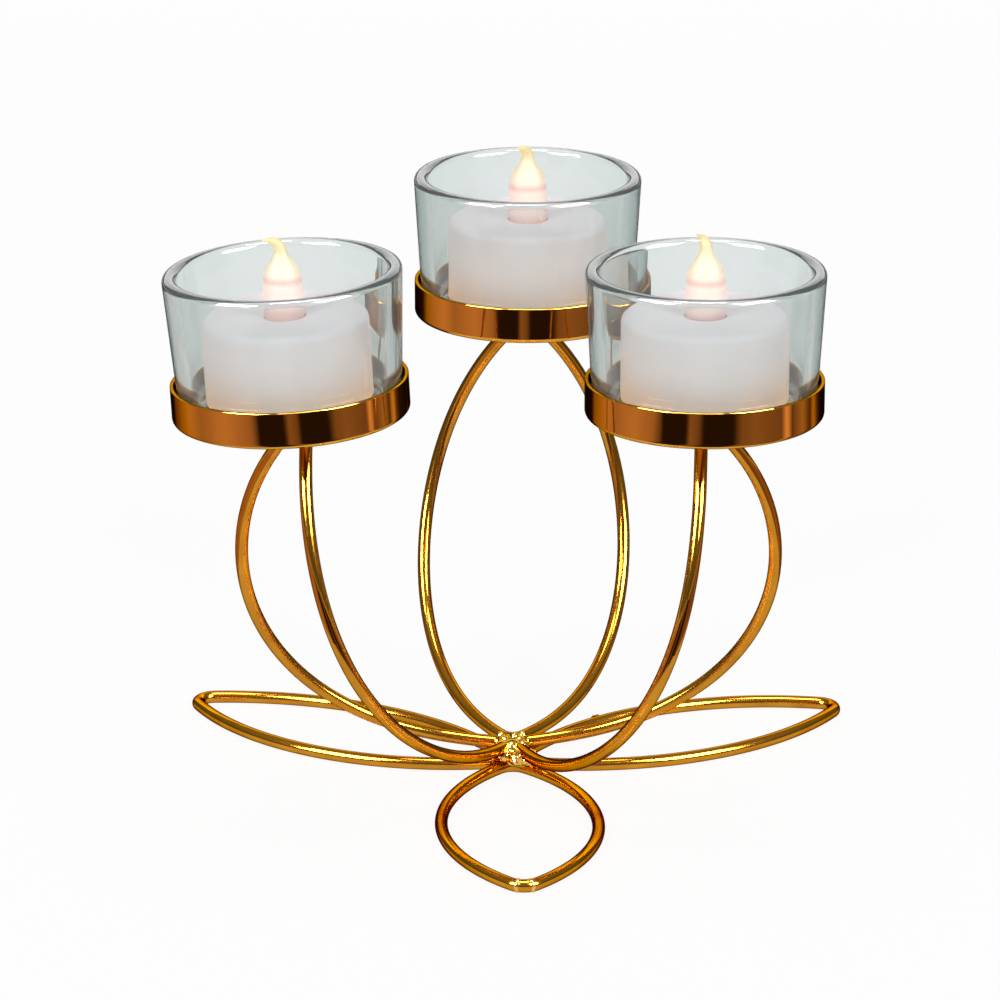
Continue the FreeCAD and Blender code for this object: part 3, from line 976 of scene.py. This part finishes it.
@dataclass
class Studio:
    """White paper, soft light, a ring of dark cards and the camera of the photograph, in metres.

    The paper is white to the lens, and metal and glass show it so too. A share of it stays plain
    paper, which keeps the object's shadow. The cards lie round the object, and only metal shows them.
    """

    lamps: tuple[SoftBox, ...] = (
        SoftBox("overhead softbox", (0.0, 0.1, 1.4), (0.8, 0.6), 2.5),
        SoftBox("left softbox", (-0.85, -1.05, 0.9), (0.35, 0.6), 7.5),
        SoftBox("right softbox", (0.85, -1.05, 0.9), (0.35, 0.6), 7.5),
        SoftBox("back softbox", (0.0, 1.6, 0.8), (2.4, 0.9), 13.0, in_metal=True),
    )
    panels: tuple[Panel, ...] = (
        Panel("left panel", (-1.0, -0.8, 1.0), (0.9, 0.9), 40.0),
        Panel("right panel", (1.0, -0.8, 1.0), (0.9, 0.9), 40.0),
        Panel("top panel", (0.0, -0.1, 1.3), (0.5, 0.4), 20.0),
    )
    lamp_target: tuple[float, float, float] = (0.0, 0.0, 0.09)
    panel_target: tuple[float, float, float] = (0.0, 0.0, 0.07)
    horizon_tone: float = 0.25
    zenith_tone: float = 0.9
    room_level: float = 0.5
    floor_size: float = 12.0
    paper_tone: float = 0.95
    white_share: float = 0.9
    card_inner: float = 0.125
    card_outer: float = 1.2
    card_height: float = 0.001
    card_tones: tuple[tuple[float, float], ...] = (
        (0.00, 0.02),
        (0.12, 0.03),
        (0.145, 0.45),
        (0.22, 0.65),
        (0.26, 0.42),
        (0.33, 0.60),
        (0.39, 0.40),
        (0.41, 0.02),
        (0.47, 0.02),
        (0.48, 0.28),
        (0.50, 0.20),
        (0.51, 0.02),
        (0.58, 0.02),
        (0.60, 0.22),
        (0.63, 0.28),
        (0.70, 0.20),
        (0.715, 0.9),
        (0.73, 0.12),
        (0.77, 0.45),
        (0.80, 0.08),
        (0.82, 0.8),
        (0.84, 0.15),
        (0.86, 0.03),
        (1.00, 0.02),
    )
    card_tint: tuple[float, float, float] = (1.0, 0.58, 0.5)
    card_level: float = 1.2
    camera_place: tuple[float, float, float] = (-0.00282, -1.22680, 0.47355)
    camera_pitch: float = 18.35
    lens: float = 200.0
    sensor: float = 36.0

    def build(self) -> None:
        """Make the floor, the light and the camera."""
        self.floor()
        self.card_ring()
        self.world()
        for lamp in self.lamps:
            self.hang_lamp(lamp)
        for panel in self.panels:
            self.hang_panel(panel)
        self.camera()
        bpy.context.scene.view_settings.view_transform = "Standard"

    def stage_piece(
        self, name: str, shape: bmesh.types.BMesh, material: bpy.types.Material
    ) -> bpy.types.Object:
        """Add a thing of the studio that isn't of the candle holder.

        Args:
            name: The piece's name.
            shape: Its mesh, which is used up.
            material: Its finish.

        Returns:
            The new object.
        """
        mesh = bpy.data.meshes.new(name)
        shape.to_mesh(mesh)
        shape.free()
        piece = bpy.data.objects.new(name, mesh)
        bpy.context.scene.collection.objects.link(piece)
        dress(piece, material)
        return piece

    def floor(self) -> None:
        """Lay the white paper."""
        material, tree, output = new_tree("white paper")
        path = add_node(tree, "ShaderNodeLightPath").outputs
        metal = add_node(
            tree,
            "ShaderNodeMath",
            {0: path["Is Camera Ray"], 1: path["Is Glossy Ray"]},
            operation="MAXIMUM",
        )
        glass = add_node(
            tree,
            "ShaderNodeMath",
            {0: metal.outputs[0], 1: path["Is Transmission Ray"]},
            operation="MAXIMUM",
        )
        share = add_node(
            tree, "ShaderNodeMath", {0: glass.outputs[0], 1: self.white_share}, operation="MULTIPLY"
        )
        plain = add_node(tree, "ShaderNodeBsdfDiffuse", {"Color": (*[self.paper_tone] * 3, 1.0)})
        white = add_node(tree, "ShaderNodeEmission", {"Color": WHITE, "Strength": 1.0})
        mix = add_node(
            tree,
            "ShaderNodeMixShader",
            {0: share.outputs[0], 1: plain.outputs[0], 2: white.outputs[0]},
        )
        tree.links.new(mix.outputs[0], output.inputs["Surface"])
        shape = bmesh.new()
        bmesh.ops.create_grid(shape, x_segments=1, y_segments=1, size=self.floor_size / 2)
        self.stage_piece("floor", shape, material)

    def card_ring(self) -> None:
        """Lay dark and bright cards round the object that only polished metal shows."""
        material, tree, output = new_tree("studio cards")
        place = add_node(tree, "ShaderNodeTexCoord").outputs["Object"]
        quarter = (0.0, 0.0, math.pi / 2)
        turn = add_node(tree, "ShaderNodeMapping", {"Vector": place, "Rotation": quarter})
        around = add_node(
            tree, "ShaderNodeTexGradient", {"Vector": turn.outputs[0]}, gradient_type="RADIAL"
        )
        tone = add_node(tree, "ShaderNodeValToRGB", {"Fac": around.outputs["Fac"]})
        stops = tone.color_ramp.elements
        for number, (position, level) in enumerate(self.card_tones):
            stop = stops[number] if number < 2 else stops.new(position)
            stop.position = position
            stop.color = (*[level * part for part in self.card_tint], 1.0)
        glow = {"Color": tone.outputs[0], "Strength": self.card_level}
        card = add_node(tree, "ShaderNodeEmission", glow)
        tree.links.new(card.outputs[0], output.inputs["Surface"])
        shape = bmesh.new()
        circles = [
            bmesh.ops.create_circle(shape, segments=64, radius=radius)["verts"]
            for radius in (self.card_inner, self.card_outer)
        ]
        edges = {edge for circle in circles for vert in circle for edge in vert.link_edges}
        bmesh.ops.bridge_loops(shape, edges=list(edges))
        bmesh.ops.translate(shape, verts=shape.verts, vec=(0.0, 0.0, self.card_height))
        self.only_in_metal(self.stage_piece("card ring", shape, material))

    def hang_panel(self, panel: Panel) -> None:
        """Hang a bright card.

        Args:
            panel: Its name, place, size and level.
        """
        material, tree, output = new_tree(panel.name)
        light = add_node(tree, "ShaderNodeEmission", {"Color": WHITE, "Strength": panel.level})
        tree.links.new(light.outputs[0], output.inputs["Surface"])
        shape = bmesh.new()
        bmesh.ops.create_grid(shape, x_segments=1, y_segments=1, size=0.5)
        bmesh.ops.scale(shape, verts=shape.verts, vec=(*panel.size, 1.0))
        aim = (Vector(self.panel_target) - Vector(panel.place)).to_track_quat("-Z", "Y")
        facing = Matrix.Translation(panel.place) @ aim.to_matrix().to_4x4()
        bmesh.ops.transform(shape, verts=shape.verts, matrix=facing)
        self.only_in_metal(self.stage_piece(panel.name, shape, material))

    def only_in_metal(self, piece: bpy.types.Object) -> None:
        """Hide a card from the lens and keep its light off dull surfaces.

        Args:
            piece: The card.
        """
        piece.visible_camera = False
        piece.visible_diffuse = False
        piece.visible_transmission = False
        piece.visible_shadow = False

    def world(self) -> None:
        """Light the room softly, darker round the horizon than overhead."""
        world = bpy.data.worlds.new("studio room")
        bpy.context.scene.world = world
        world.use_nodes = True
        tree = world.node_tree
        tree.nodes.clear()
        way = add_node(tree, "ShaderNodeTexCoord").outputs["Generated"]
        axes = add_node(tree, "ShaderNodeSeparateXYZ", {"Vector": way})
        tone = add_node(tree, "ShaderNodeValToRGB", {"Fac": axes.outputs["Z"]})
        for stop, level in zip(tone.color_ramp.elements, (self.horizon_tone, self.zenith_tone)):
            stop.color = (level, level, level, 1.0)
        sky = {"Color": tone.outputs[0], "Strength": self.room_level}
        back = add_node(tree, "ShaderNodeBackground", sky)
        output = add_node(tree, "ShaderNodeOutputWorld")
        tree.links.new(back.outputs[0], output.inputs["Surface"])

    def hang_lamp(self, box: SoftBox) -> None:
        """Hang a softbox that faces the object.

        Args:
            box: Its name, place, size and power.
        """
        data = bpy.data.lights.new(box.name, "AREA")
        data.shape = "RECTANGLE"
        data.size, data.size_y = box.size
        data.energy = box.power
        lamp = bpy.data.objects.new(box.name, data)
        lamp.location = box.place
        aim = Vector(self.lamp_target) - Vector(box.place)
        lamp.rotation_euler = aim.to_track_quat("-Z", "Y").to_euler()
        lamp.visible_camera = False
        lamp.visible_glossy = box.in_metal
        bpy.context.scene.collection.objects.link(lamp)

    def camera(self) -> None:
        """Stand the camera where the photograph was taken from."""
        data = bpy.data.cameras.new("camera")
        data.lens = self.lens
        data.sensor_width = self.sensor
        camera = bpy.data.objects.new("camera", data)
        camera.location = self.camera_place
        camera.rotation_euler = (math.radians(90 - self.camera_pitch), 0.0, 0.0)
        bpy.context.scene.collection.objects.link(camera)
        bpy.context.scene.camera = camera


def main() -> None:
    """Build the studio, dress every node and make the pieces that replace some of them."""
    Studio().build()
    wire, tray, weld = GOLD_WIRE.make(), GOLD_TRAY.make(), WELD_BEAD.make()
    glass, ground = CLEAR_GLASS.make(), GROUND_GLASS.make()
    casing, base = WHITE_CASING.make(), WHITE_BASE.make()
    diode, cell, strip, knob = DIODE.make(), CELL_STEEL.make(), CONTACT_STRIP.make(), BLACK_KNOB.make()
    kinds = {
        "loop": wire,
        "petal": wire,
        "tray": tray,
        "weld": weld,
        "glass": glass,
        "shell": casing,
        "cover": base,
        "door": base,
        "cell": cell,
        "contact": strip,
        "led": diode,
        "knob": knob,
        "wiper": strip,
    }
    for name, node in frame["nodes"].items():
        kind = name.split("_")[-1]
        if kind in kinds:
            dress(node, kinds[kind])
            log.info("dressed %s", name)
    for side in Side:
        axis = CupAxis(side)
        Dish(axis).build(tray)
        Cup(axis).build(glass, ground)
        Casing(axis).build(casing)
        flame = frame["nodes"][f"{side.value}_flame"]
        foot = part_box(f"{side.value}_candle_shell")[1].z
        dress(flame, FLAME.make(foot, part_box(f"{side.value}_flame")[1].z))
        log.info("dressed %s_flame", side.value)
    HubBead().build(weld)
    # The front butt weld wears the weld's gold, a lighter copy of the plating: painted highlight
    ButtWeld("front_butt_weld", place=(2.69, -77.15), outward_angle=272.0, arc_radius=4.1).build(weld)
    ButtWeld(
        "right_butt_weld",
        place=(20.41, 27.21),
        outward_angle=121.9,
        arc_radius=60.0,
        ridge=0.15,
        ridge_place=0.45,
        ridge_reach=0.4,
    ).build(wire)


if __name__ == "__main__":
    main()
